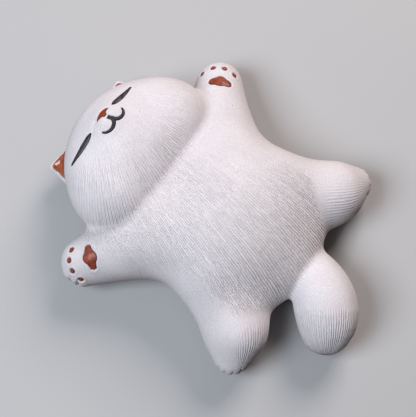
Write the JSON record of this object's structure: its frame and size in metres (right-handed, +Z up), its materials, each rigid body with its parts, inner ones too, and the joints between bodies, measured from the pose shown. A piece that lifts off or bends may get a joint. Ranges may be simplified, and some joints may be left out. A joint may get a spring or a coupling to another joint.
{
  "type": "cat tea pet",
  "caption": "Small hollow white clay cat lying on its back with its limbs spread, with glazed paw pads, ear linings, nose, mouth and closed eyes; ornament for a tea tray.",
  "frame": {"origin": "on the table, under the middle of the whole figure's bounding box", "axes": "+Z up out of the belly, +Y toward the head along the figure's length, +X toward the cat's own left"},
  "size_m": [0.0808, 0.1012, 0.0303],
  "materials": {
    "clay": "matte unglazed white clay with carved comb strokes",
    "brown_glaze": "glossy red-brown glaze",
    "nose_glaze": "glossy orange-brown glaze",
    "black_glaze": "satin black glaze"
  },
  "bodies": {
    "root": {"torso": "clay", "head": "clay", "ear_left": "clay", "ear_right": "clay", "foreleg_left": "clay", "foreleg_right": "clay", "hind_leg_left": "clay", "hind_leg_right": "clay", "tail": "clay", "ear_lining_left": "brown_glaze", "ear_lining_right": "brown_glaze", "palm_pad_left": "brown_glaze", "toe_pad_left_1": "brown_glaze", "toe_pad_left_2": "brown_glaze", "toe_pad_left_3": "brown_glaze", "toe_pad_left_4": "brown_glaze", "palm_pad_right": "brown_glaze", "toe_pad_right_1": "brown_glaze", "toe_pad_right_2": "brown_glaze", "toe_pad_right_3": "brown_glaze", "toe_pad_right_4": "brown_glaze", "nose": "nose_glaze", "mouth": "black_glaze", "eye_left": "black_glaze", "eye_right": "black_glaze"}
  },
  "joints": []
}
